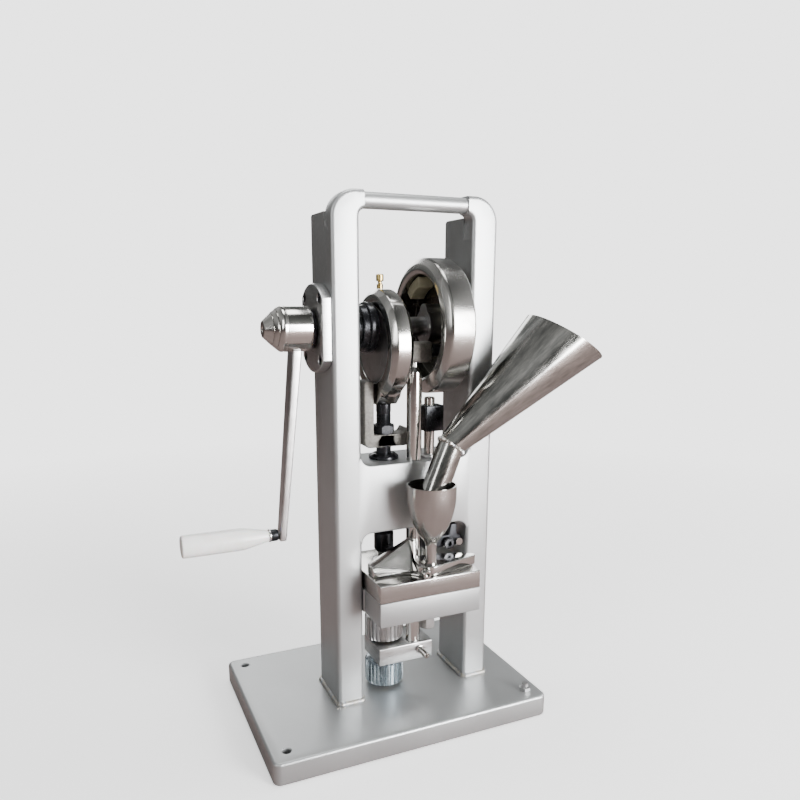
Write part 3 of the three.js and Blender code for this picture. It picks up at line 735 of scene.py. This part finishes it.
# ---- bearings, crank and shaft -------------------------------------------------
def make_bearing():
    f, post = Span("bearing_flange"), Span("upright_left")
    face = post.x0 - GAP
    plate = rod("x", AXLE, 42, f.x0, face, 96)
    plate.name = "bearing_flange_plate"
    combine(plate, "INTERSECT", [slab("tool", f.x0 - 2, face + 2, f.y0, f.y1, 300, 500)])
    soften(plate, 1.2, 4, 50)
    spots = [Span(f"flange_screw_{i}") for i in (1, 2, 3, 4)]
    tools = [rod("x", AXLE, shaft.z1 - shaft.z + 0.25, f.x0 - 5, face + 5, 72)]
    for s in spots:
        profile = [(0, face + 1), (2.9, face + 1), (2.9, face - 5), (4.9, face - 5), (4.9, f.x0 + 0.5),
                   (5.5, f.x0 - 0.3), (0, f.x0 - 0.3)]
        tools.append(turned("tool", "x", (s.y, s.z), profile, 40))
    fit(cut(plate, *tools), machined("flange", stretch=(60, 60, 700), shade=0.5), "bearing_flange")
    for i, s in enumerate(spots, 1):
        at = (s.y, s.z)
        head = turned(f"flange_screw_{i}_head", "x", at, [
            (0, s.x0), *eased([(3.4, s.x0), (4.4, s.x0 + 0.9), (4.4, s.x0 + 3.8)], 0.4), (2.5, s.x0 + 3.8),
            (2.5, s.x1), (0, s.x1)], 40)
        fit(cut(head, rod("x", at, 2.3, s.x0 - 1, s.x0 + 2.2, 6)), BLACK, f"flange_screw_{i}")
    b = Span("bearing_bush_right")
    fit(turned("bearing_bush_right_ring", "x", AXLE, ringed([
        (10.25, b.x0), (14.5, b.x0), (14.5, b.x1), (10.25, b.x1)], 0.7)), MACHINED_AXLE, "bearing_bush_right")


def make_crank():
    hub, collar = Span("crank_hub"), Span("hub_collar")
    fit(turned("main_shaft_bar", "x", AXLE, [
        (0, shaft.x0), (7, shaft.x0), (7, hub.x1 - 4), (10, hub.x1 - 4), (10, shaft.x1 - 2), (8, shaft.x1),
        (0, shaft.x1)]), MACHINED_AXLE, "main_shaft")
    r, nose, cone = hub.z1 - hub.z, 8.5, hub.x0 + 16
    slope = (r - nose) / (cone - hub.x0)
    groove = []
    for x in (cone - 8.5, cone - 4.2):
        at = nose + slope * (x - hub.x0)
        groove += [(at, x), (at - 0.45, x + 0.35), (at + slope * 0.7, x + 0.7)]
    fit(turned("crank_hub_cone", "x", AXLE, [
        (0, hub.x0 + 7), (2.6, hub.x0 + 6.6),
        *eased([(2.6, hub.x0 + 2), (3.1, hub.x0), (nose - 0.8, hub.x0), (nose + 0.4, hub.x0 + 1.4)], 0.5),
        *groove, *eased([(r - 0.9, cone - 1.0), (r, cone + 0.2), (r, cone + 2)], 0.8), (r - 0.35, cone + 3.2),
        (r - 0.35, cone + 3.8), (r, cone + 4.2),
        *eased([(r, hub.x1 - 2.5), (r, hub.x1), (r - 3, hub.x1)], 1.2),
        (0, hub.x1)], 96), POLISHED_AXLE, "crank_hub")
    fit(turned("hub_collar_ring", "x", AXLE, ringed([
        (SHAFT_BORE, collar.x0), (19, collar.x0), (19, collar.x1), (SHAFT_BORE, collar.x1)], 1.0)),
        GLOSS_BLACK, "hub_collar")

    # The arm leans outward: its middle line as (x, z).
    arm = Span("crank_arm")
    top = Vector((-90.2, arm.z1))
    foot = Vector((-109.3, arm.z0))
    rings = []
    for t in [k / 24 for k in range(25)]:
        x, z = foot.lerp(top, t)
        wx, wy = 3.3 + 1.2 * t, 6.8 + 3.2 * t
        rings.append([(px, py, z) for px, py in rounded(x - wx, x + wx, AXLE[0] - wy, AXLE[0] + wy, 1.5, 4)])
    bar = soften(loft("crank_arm_bar", rings), 1.2, 3, 60)
    fit(cut(bar, rod("x", AXLE, r + GAP, hub.x0, hub.x1 + 8, 72), rod("x", GRIP, 3.3, -130, -90, 40)),
        machined("arm", stretch=(500, 500, 26), shade=0.62, rough=0.3), "crank_arm")

    pin = Span("grip_pin")
    fit(turned("grip_pin_bar", "x", GRIP, [(0, pin.x0), (3, pin.x0), *eased(
        [(3, pin.x1 - 2.4), (2.6, pin.x1 - 1.6)], 0.4), (0, pin.x1 - 1.4)], 48),
        machined("grip_pin", "x", GRIP), "grip_pin")
    cap = Span("grip_ferrule")
    fit(turned("grip_ferrule_socket", "x", GRIP, ringed([
        (3.3, cap.x0), (6, cap.x0), (6, cap.x1 - 1.6), (5.4, cap.x1), (3.3, cap.x1)], 0.5), 60),
        BLACK, "grip_ferrule")
    fit(turned("grip_ferrule_ring", "x", GRIP, ringed([
        (3.1, cap.x0 - 0.2), (6.6, cap.x0 - 0.2), (6.6, cap.x0 + 1.9), (3.1, cap.x0 + 1.9)], 0.5), 60),
        machined("ferrule", "x", GRIP, 0.75, rough=0.15), body="crank", slot="machined_steel")
    x0, x1, r = grip.x0, grip.x1, grip.z1 - grip.z
    full = x0 + 61
    line = [(0, x0), *eased([(r - 3.6, x0), (r - 0.2, x0 + 0.4), (r, x0 + 5)], 3.4, 8),
            *eased([(r - 0.1, full - 9), (r - 0.3, full - 1), (5.6, x1)], 9, 10), (3.3, x1), (3.3, x0 + 11.5),
            (0, x0 + 11.5)]
    fit(turned("crank_grip_handle", "x", GRIP, line, 80), WHITE, "crank_grip")


def make_eccentric():
    c = Span("shaft_collar")
    fit(turned("shaft_collar_steps", "x", AXLE, ringed([
        (SHAFT_BORE, c.x0), (17, c.x0), (17, -27), (22, -27), (22, -20.5), (25, -20.5), (25, c.x1),
        (SHAFT_BORE, c.x1)], 1.1)), GLOSS_BLACK, "shaft_collar")
    e = Span("eccentric_sheave")
    r = e.z1 - e.z
    disc = turned("eccentric_sheave_disc", "x", THROW_AT, [
        (0, e.x0), *eased([(r - 1, e.x0), (r, e.x0 + 1), (r, e.x1 - 1), (r - 1, e.x1)], 0.5), (0, e.x1)], 96)
    fit(cut(disc, rod("x", AXLE, SHAFT_BORE, e.x0 - 4, e.x1 + 4)), machined("sheave", "x", THROW_AT, 0.45),
        "eccentric_sheave")

    x0, x1, outer, inner = strap.x0, strap.x1, (strap.y1 - strap.y0) / 2, 38.3
    chamfer = 5
    ring = turned("eccentric_strap_ring", "x", THROW_AT, ringed([
        (inner, x0), (outer - chamfer, x0), (outer, x0 + chamfer), (outer, x1 - chamfer),
        (outer - chamfer, x1), (inner, x1)], 0.7), 144)
    top, w, low = STRAP_Z - inner - 3, 9, strap.z0
    y = AXLE[0]
    lug = prism("tool", "yz", [
        (y - w, low), (y + w, low), (y + w + 10, low + 9), (y + w + 12, top - 4), (y + w + 6, top),
        (y - w - 6, top), (y - w - 12, top - 4), (y - w - 10, low + 9)], x0, x1)
    soften(lug, 1.1, 3)
    cut(lug, rod("x", THROW_AT, inner + 4, x0 - 1, x1 + 1, 96))
    fuse(ring, lug)
    fit(cut(ring, rod("z", RAM, RAM_BORE, low - 5, low + 20.6, 60)), POLISHED_STRAP, "eccentric_strap")

    o = Span("oil_cup")
    at = (o.x, o.y)
    outside = eased([(3.2, o.z0 + 4.4), (2, o.z0 + 4.8), (2, o.z0 + 7.2), (3.8, o.z0 + 7.7),
                     (3.8, o.z1 - 0.8), (3.0, o.z1)], 0.4, 3)
    pot = turned("oil_cup_pot", "z", at, [
        (0, o.z0), (3.1, o.z0), *outside, (2.3, o.z1), (2.3, o.z1 - 2.6), (0, o.z1 - 2.6)], 40)
    slot = slab("tool", o.x - 5, o.x + 5, o.y - 0.7, o.y + 0.7, o.z1 - 2.4, o.z1 + 1)
    fit(cut(pot, slot), brass("oil_cup", "z", at), "oil_cup")


def make_drum():
    d = Span("drum_wheel")
    r, bore, web = d.z1 - d.z, 52, 8
    face = d.x0
    fit(turned("drum_wheel_rim", "x", AXLE, ringed([
        (SHAFT_BORE, d.x1 - web), (bore, d.x1 - web), (bore, face + 2.5), (bore + 4, face),
        (r - 6, face + 1.5), (r - 1, face + 5.5), (r, face + 7.5), (r, d.x1 - 1.5), (r - 1.5, d.x1),
        (SHAFT_BORE, d.x1)], 1.0), 128),
        polished("drum", "x", AXLE, 0.46, 0.18, 700, shade_within=bore + 0.4), "drum_wheel")
    c = Span("lift_cam")
    body = rod("x", AXLE, 17.5, c.x0, c.x1, 72)
    body.name = "lift_cam_plate"
    fuse(body, rod("x", (AXLE[0], AXLE[1] + 14), 9, c.x0 - 0.001, c.x1 + 0.001, 60))
    soften(body, 0.8, 3)
    cut(body, rod("x", AXLE, SHAFT_BORE, c.x0 - 5, c.x1 + 5))
    fit(body, machined("cam", "x", AXLE, 0.42), "lift_cam")
    s = Span("drum_segment")
    block = prism("drum_segment_block", "yz", [*arc(AXLE[0], AXLE[1], bore - 1, 42, 78, 16),
                                               *arc(AXLE[0], AXLE[1], 40, 78, 42, 16)], s.x0, s.x1)
    fit(soften(block, 1.2, 3), OLIVE, "drum_segment")


# ---- ram, lift and feed ----------------------------------------------------------
def hex_nut(name, at, corner, z0, z1, bore):
    nut = turned(name, "z", at, [(0, z0), (corner, z0), (corner, z1), (0, z1)], 6)
    high = corner * 0.16
    dome = turned("tool", "z", at, [
        (0, z0), (corner * 0.88, z0), (corner * 1.01, z0 + high), (corner * 1.01, z1 - high),
        (corner * 0.88, z1), (0, z1)], 72)
    combine(nut, "INTERSECT", [dome])
    return cut(nut, rod("z", at, bore, z0 - 1, z1 + 1, 48))


def threads(r, low, high, pitch=1.5, depth=0.6):
    line = []
    for k in range(int((high - low) / pitch)):
        line += [(r, low + k * pitch), (r - depth, low + (k + 0.5) * pitch)]
    return line


def make_ram():
    r = (spindle.x1 - spindle.x0) / 2
    nut = Span("lock_nut")
    fit(turned("ram_spindle_bar", "z", RAM, [
        (0, spindle.z0), (r, spindle.z0), (r, nut.z1 - 1), *threads(r, nut.z1, spindle.z1 - 8),
        (r, spindle.z1 - 7), (r, spindle.z1), (0, spindle.z1)], 60), GLOSS_BLACK, "ram_spindle")
    fit(hex_nut("lock_nut_hex", RAM, (nut.x1 - nut.x0) / 2, nut.z0, nut.z1, r + GAP), GLOSS_BLACK, "lock_nut")

    y = Span("ram_yoke")
    low = y.z0
    casting = prism("ram_yoke_casting", "xz", eased([
        (y.x0, low + 5), (y.x0 + 4, low), (y.x1 - 3, low), (y.x1, low + 4), (y.x1, low + 17),
        (y.x1 - 3, low + 19), (y.x1 - 7, low + 13), (-12.5, low + 13), (-12.5, y.z1 - 2.5),
        (-14.5, y.z1), (y.x0 + 2, y.z1),
        (y.x0, y.z1 - 2.5)], 2.5, 4, closed=True), y.y0, y.y1)
    soften(casting, 1.8, 4, 50)
    fit(cut(casting, rod("z", RAM, RAM_BORE, 285, 310), rod("z", RAM, 14.2, low + 12.9, 330, 60)),
        CASTING, "ram_yoke")

    h = Span("punch_holder")
    body = turned("punch_holder_body", "z", RAM, [
        (0, h.z0), *eased([(9, h.z0), (10.4, h.z0 + 2), (10.4, h.z1 - 1.4), (9, h.z1), (8, h.z1)], 0.6),
        (8, 190), (0, 190)], 60)
    fit(cut(body, rod("y", (RAM[0], 187), 1.8, h.y0 - 2, h.y0 + 3, 6)), GLOSS_BLACK, "punch_holder")
    p = Span("upper_punch")
    fit(turned("upper_punch_bar", "z", RAM, [
        (0, p.z0), *eased([(4, p.z0), (4, p.z0 + 4.2), (6.5, p.z0 + 4.2), (6.5, p.z1)], 0.4), (0, p.z1)], 60),
        polished("punch", "z", RAM), "upper_punch")


def gear(name, node, finish):
    g = Span(node)
    r, teeth, depth = g.x1 - RAM[0], 26, 1.9
    tooth = ((0.0, r - depth), (0.26, r - depth), (0.4, r - 0.3), (0.46, r), (0.8, r), (0.86, r - 0.3))
    outline = []
    for i in range(teeth):
        for part, reach in tooth:
            a = 2 * math.pi * (i + part) / teeth
            outline.append((RAM[0] + reach * math.cos(a), RAM[1] + reach * math.sin(a)))
    blank = prism(name, "xy", outline, g.z0, g.z1)
    cone = turned("tool", "z", RAM, [(0, g.z0), (r - 1.4, g.z0), (r + 0.2, g.z0 + 1.6), (r + 0.2, g.z1 - 1.6),
                                     (r - 1.4, g.z1), (0, g.z1)], 96)
    combine(blank, "INTERSECT", [cone])
    fit(cut(blank, rod("z", RAM, PUNCH_BORE, g.z0 - 1, g.z1 + 1)), finish, node)


def make_lift():
    p = Span("lower_punch")
    fit(turned("lower_punch_bar", "z", RAM, [
        (0, p.z0), (6, p.z0), *threads(6, p.z0 + 1, 60, 1.2, 0.45), (6, 61), (6, 135), (4, 137), (4, p.z1),
        (0, p.z1)], 48), brass("spindle", "z", RAM), "lower_punch")
    gear("upper_adjust_gear_wheel", "upper_adjust_gear", machined("gear", "z", RAM, 0.5))
    gear("lower_adjust_gear_wheel", "lower_adjust_gear",
         machined("zinc_gear", "z", RAM, 0.46, (0.88, 1.0, 1.08), rough=0.16))
    b = Span("lift_bar")
    bar = soften(slab("lift_bar_block", b.x0, b.x1, b.y0, b.y1, b.z0, b.z1), 0.8, 3)
    fit(cut(bar, rod("z", RAM, PUNCH_BORE, 50, 80), rod("z", LIFT, LIFT_BORE, 60, 80)), MILLED, "lift_bar")
    s = Span("lift_clamp_screw")
    at = (s.x, s.z)
    screw = turned("lift_clamp_screw_bar", "y", at, [
        (0, s.y0), *eased([(2.7, s.y0), (3.4, s.y0 + 0.9), (3.4, s.y1 - 2.5), (4.6, s.y1 - 2.2)], 0.5),
        (4.6, s.y1), (0, s.y1)], 48)
    cut(screw, rod("y", at, 1.6, s.y0 - 1, s.y0 + 3, 6))
    fit(screw, polished("clamp_screw", "y", at), "lift_clamp_screw")

    r = (lift.x1 - lift.x0) / 2
    fit(turned("lift_rod_bar", "z", LIFT, [
        (0, lift.z0), (r, lift.z0), *eased([(r, lift.z1 - 12), (4.4, lift.z1 - 7), (4.4, lift.z1)], 1.2),
        (0, lift.z1)], 72), POLISHED_LIFT, "lift_rod")
    h = Span("lift_head")
    head = prism("lift_head_block", "yz", rounded(h.y0, h.y1, h.z0, h.z1, 4), h.x0, h.x1)
    soften(head, 2.2, 4, 50)
    pin, wheel = Span("lift_roller_pin"), Span("lift_roller")
    at = (pin.y, pin.z)
    fit(cut(head, rod("z", LIFT, 4.7, 370, lift.z1 + GAP), rod("x", at, 3.3, 34, 50)), CASTING, "lift_head")
    fit(turned("lift_roller_pin_bar", "x", at, [
        (0, pin.x0), *eased([(3, pin.x0), (3, pin.x1 - 0.6), (2.4, pin.x1)], 0.3), (0, pin.x1)], 40),
        MACHINED_AXLE, "lift_roller_pin")
    fit(turned("lift_roller_wheel", "x", at, ringed([
        (3.3, wheel.x0), (6, wheel.x0), (6, wheel.x1), (3.3, wheel.x1)], 0.7), 60), BLACK, "lift_roller")


def make_feed():
    r = (feed.x1 - feed.x0) / 2
    nut = Span("feed_shaft_nut")
    fit(turned("feed_shaft_bar", "z", FEED, [
        (0, feed.z0), (r - 0.6, feed.z0), *threads(r, feed.z0 + 0.6, nut.z1 + 5, 1.4, 0.45), (r, nut.z1 + 6),
        (r, feed.z1 - 1), (r - 1, feed.z1), (0, feed.z1)], 60), POLISHED_FEED, "feed_shaft")
    corner = max(nut.x1 - nut.x0, nut.y1 - nut.y0) / 2
    fit(hex_nut("feed_shaft_nut_hex", FEED, corner, nut.z0, nut.z1, r + GAP), MACHINED_FEED, "feed_shaft_nut")
    f = Span("feed_follower")
    block = soften(slab("feed_follower_block", f.x0, f.x1, f.y0, f.y1, f.z0, f.z1), 1.6, 4)
    socket = rod("y", (f.x1 - 6, f.z), 2.2, f.y0 - 1, f.y0 + 4, 6)
    fit(cut(block, rod("z", FEED, r + GAP, 300, 340), socket), GLOSS_BLACK, "feed_follower")
    v = Span("feed_lever")
    front = v.y0
    screw, stud = Span("lever_screw"), Span("lever_nut")
    at, nut_at = (screw.x, screw.z), (stud.x, stud.z)
    bar = prism("feed_lever_bar", "xz", [
        (v.x0, v.z0), (v.x1, v.z0), (v.x1, v.z0 + 9.5), (v.x1 - 5, v.z0 + 12.5), (v.x1 - 5, v.z1),
        (v.x1 - 13, v.z1), (v.x1 - 15, v.z0 + 12.5), (v.x0, v.z0 + 12.5)], v.y0, v.y1)
    soften(bar, 1.2, 3)
    fit(cut(bar, rod("z", FEED, r + GAP, 170, 200), rod("y", at, 3.3, front - 1, front + 8),
            rod("y", nut_at, 2.3, front - 1, front + 6)), BLACK, "feed_lever")
    head = turned("lever_screw_head", "y", at, [
        (0, screw.y0),
        *eased([(5.2, screw.y0), (6.2, screw.y0 + 0.9), (6.2, front - GAP), (3, front - GAP)], 0.5),
        (3, screw.y1), (0, screw.y1)], 60)
    fit(cut(head, rod("y", at, 3.0, screw.y0 - 1, screw.y0 + 3.4, 6)), GLOSS_BLACK, "lever_screw")
    back = front - GAP
    nut = turned("lever_nut_hex", "y", nut_at, [(0, stud.y0), (4.4, stud.y0), (4.4, back), (0, back)], 6)
    dome = turned("tool", "y", nut_at, [
        (0, stud.y0), (3.7, stud.y0), (4.5, stud.y0 + 0.9), (4.5, back), (0, back)], 48)
    combine(nut, "INTERSECT", [dome])
    fit(fuse(nut, rod("y", nut_at, 2, stud.y0 + 1, stud.y1)), polished("lever_nut", "y", nut_at), "lever_nut")


# ---- feed shoe, cup and funnel -------------------------------------------------
def make_shoe():
    s, screw = Span("feed_shoe"), Span("shoe_screw")
    low, top, ridge = s.z0, s.z0 + 10, s.z1
    # The plate's outline from above, from the wedge's end round the cup to the back.
    plate = prism("feed_shoe_plate", "xy", eased([
        (-31, -56), (6, -62), (14, -71), (27.5, -76), (38, -74), (80, -63), (84, -59), (72, -49), (40, -40),
        (16, -40), (12, -37), (-31, -40)], 3, 4, closed=True), low, top)
    soften(plate, 0.8, 3, 50)
    wedge = prism("feed_shoe_wedge", "xz", [
        (-30.6, low + 1), (18, low + 1), (18, ridge), (15, ridge + 0.5), (-30.6, top)], -54, -40.4)
    slope = prism("tool", "yz", [
        (-70, low + 1.6), (-57, low + 1.6), (-44, ridge + 5), (-44, ridge + 12), (-70, ridge + 12)], -40, 13)
    fuse(plate, wedge)
    soften(cut(plate, slope), 0.5, 3)
    pivot = rod("z", CUP, 4.3, low - 1, 174.3)
    at = (screw.x, screw.z)
    fit(cut(plate, pivot, rod("y", at, 2.7, -80, -62)), POLISHED_FLAT, "feed_shoe")
    head = turned("shoe_screw_head", "y", at, [
        (0, screw.y0),
        *eased([(3.6, screw.y0), (4.4, screw.y0 + 0.8), (4.4, screw.y0 + 5), (2.4, screw.y0 + 5)], 0.4),
        (2.4, screw.y1), (0, screw.y1)], 48)
    fit(cut(head, rod("y", at, 2.1, screw.y0 - 1, screw.y0 + 2.6, 6)), polished("shoe_screw", "y", at),
        "shoe_screw")

    r, wall, neck, foot, rim = (cup.x1 - cup.x0) / 2, 1.5, 5.7, cup.z0, cup.z1
    # The cup's outside from its neck up, as (radius, height).
    outer = [(neck + 0.6, foot), (neck, foot + 2.5), (neck, 200), (8, 204), (13, 210), (18, 219), (22, 230),
             (24.3, 241), (r, 250), (r, rim)]
    inner = [(a - wall, z + (0.6 if 2 < i < 9 else 0)) for i, (a, z) in enumerate(outer)]
    section = eased(outer, 3.5, 4) + [Vector((r - wall / 2, rim))] + eased(inner[::-1], 3.5, 4)
    fit(turned("hopper_cup_bell", "z", CUP, [*section, section[0]], 112), POLISHED_CUP, "hopper_cup")
    lip_r = 0.7
    centre = Vector((*CUP, rim - lip_r))
    lip = [Vector(p) for p in circle("z", CUP, r - 0.75, rim - lip_r, 112)]
    rings = [[p + lip_r * ((p - centre) / r * math.cos(b) + Vector((0, 0, 1)) * math.sin(b))
              for b in round_turn(8)] for p in lip]
    fit(loft("hopper_cup_lip", rings, loop=True), POLISHED_CUP, body="shoe", slot="polished_steel")


def ring_of(centre, normal, r, steps=96):
    """A circle of points square to a direction."""
    n = normal.normalized()
    side = Vector((0, 1, 0)).cross(n).normalized()
    other = n.cross(side)
    return [centre + r * (side * math.cos(a) + other * math.sin(a)) for a in round_turn(steps)]


def make_funnel():
    low, bend = Vector((23.4, CUP[1], 236)), Vector((48, CUP[1], 298.3))
    high = Vector((177.5, CUP[1], 401.5))
    tube_r, mouth_r, wall = 13.5, 43.35, 1.2
    tube_way, cone_way = (bend - low).normalized(), (high - bend).normalized()
    miter = (tube_way + cone_way).normalized()
    out = Vector((0.507, -0.096, 0.857)).normalized()
    spots = [low.lerp(bend, t / 8) for t in range(9)]
    turns = [tube_way.lerp(miter, max(0, t - 4) / 4) for t in range(9)]
    outer = [ring_of(p, n, tube_r) for p, n in zip(spots, turns)]
    inner = [ring_of(p, n, tube_r - wall) for p, n in zip(spots, turns)]
    fit(loft("funnel_tube_pipe", outer + inner[::-1], loop=True), FUNNEL_STEEL, "funnel_tube")

    def cone_rings(inset):
        rings = []
        for t in [k / 16 for k in range(17)]:
            centre = bend.lerp(high, t) + cone_way * 0.15
            rings.append(ring_of(centre, miter.lerp(out, t), tube_r + (mouth_r - tube_r) * t - inset))
        return rings
    shell = loft("funnel_cone_shell", cone_rings(0) + cone_rings(wall)[::-1], loop=True)
    fit(shell, FUNNEL_STEEL, "funnel_cone")
    lip = ring_of(high + cone_way * 0.15 - out * 0.6, out, mouth_r - 0.85, 128)
    rings = [[p + 0.75 * ((p - high).normalized() * math.cos(b) + out * math.sin(b))
              for b in round_turn(8)] for p in lip]
    fit(loft("funnel_lip", rings, loop=True), FUNNEL_STEEL, body="funnel", slot="polished_steel")
    seam = ring_of(bend + cone_way * 0.1, miter, tube_r - 0.1)
    fit(bead("funnel_bend_weld", seam, 2.1, 11, rough=0.3), WELD, body="funnel", slot="weld_bead")


def funnel_steel():
    """Rolled and polished sheet: long streaks down the funnel's length."""
    f = Finish("polished_funnel", 1.0)
    lean = Euler((0, math.radians(38.55), 0))
    turned_up = f.add("Mapping", {"vector_type": "POINT"}, {0: f.place(), 2: lean})
    drawn = f.add("VectorMath", {"operation": "MULTIPLY"}, {0: turned_up, 1: (5, 330, 330)})
    streak, smudge = f.noise(1, 4, 0.6, drawn), f.noise(22, 4, 0.6)
    # painted shade and painted reflection: these colours are kept dark, with a warm cast, for the dark and
    # warm surroundings the funnel mirrors
    f.set("Base Color", f.ramp(streak * 0.7 + smudge * 0.3, (0.3, (0.22, 0.225, 0.215)),
                               (0.7, (0.5, 0.49, 0.465))))
    f.set("Roughness", 0.07 + streak * 0.14 + smudge ** 3.0 * 0.2)
    f.bump(streak, 0.015, 0.3)
    return f.material


FUNNEL_STEEL = funnel_steel()
make_base()
make_frame()
make_feet()
make_table()
make_bearing()
make_crank()
make_eccentric()
make_drum()
make_ram()
make_lift()
make_feed()
make_shoe()
make_funnel()

pin = frame["nodes"]["shoe_pivot_pin"]
pin.data.materials.clear()
pin.data.materials.append(machined("pivot_pin", "z", CUP))
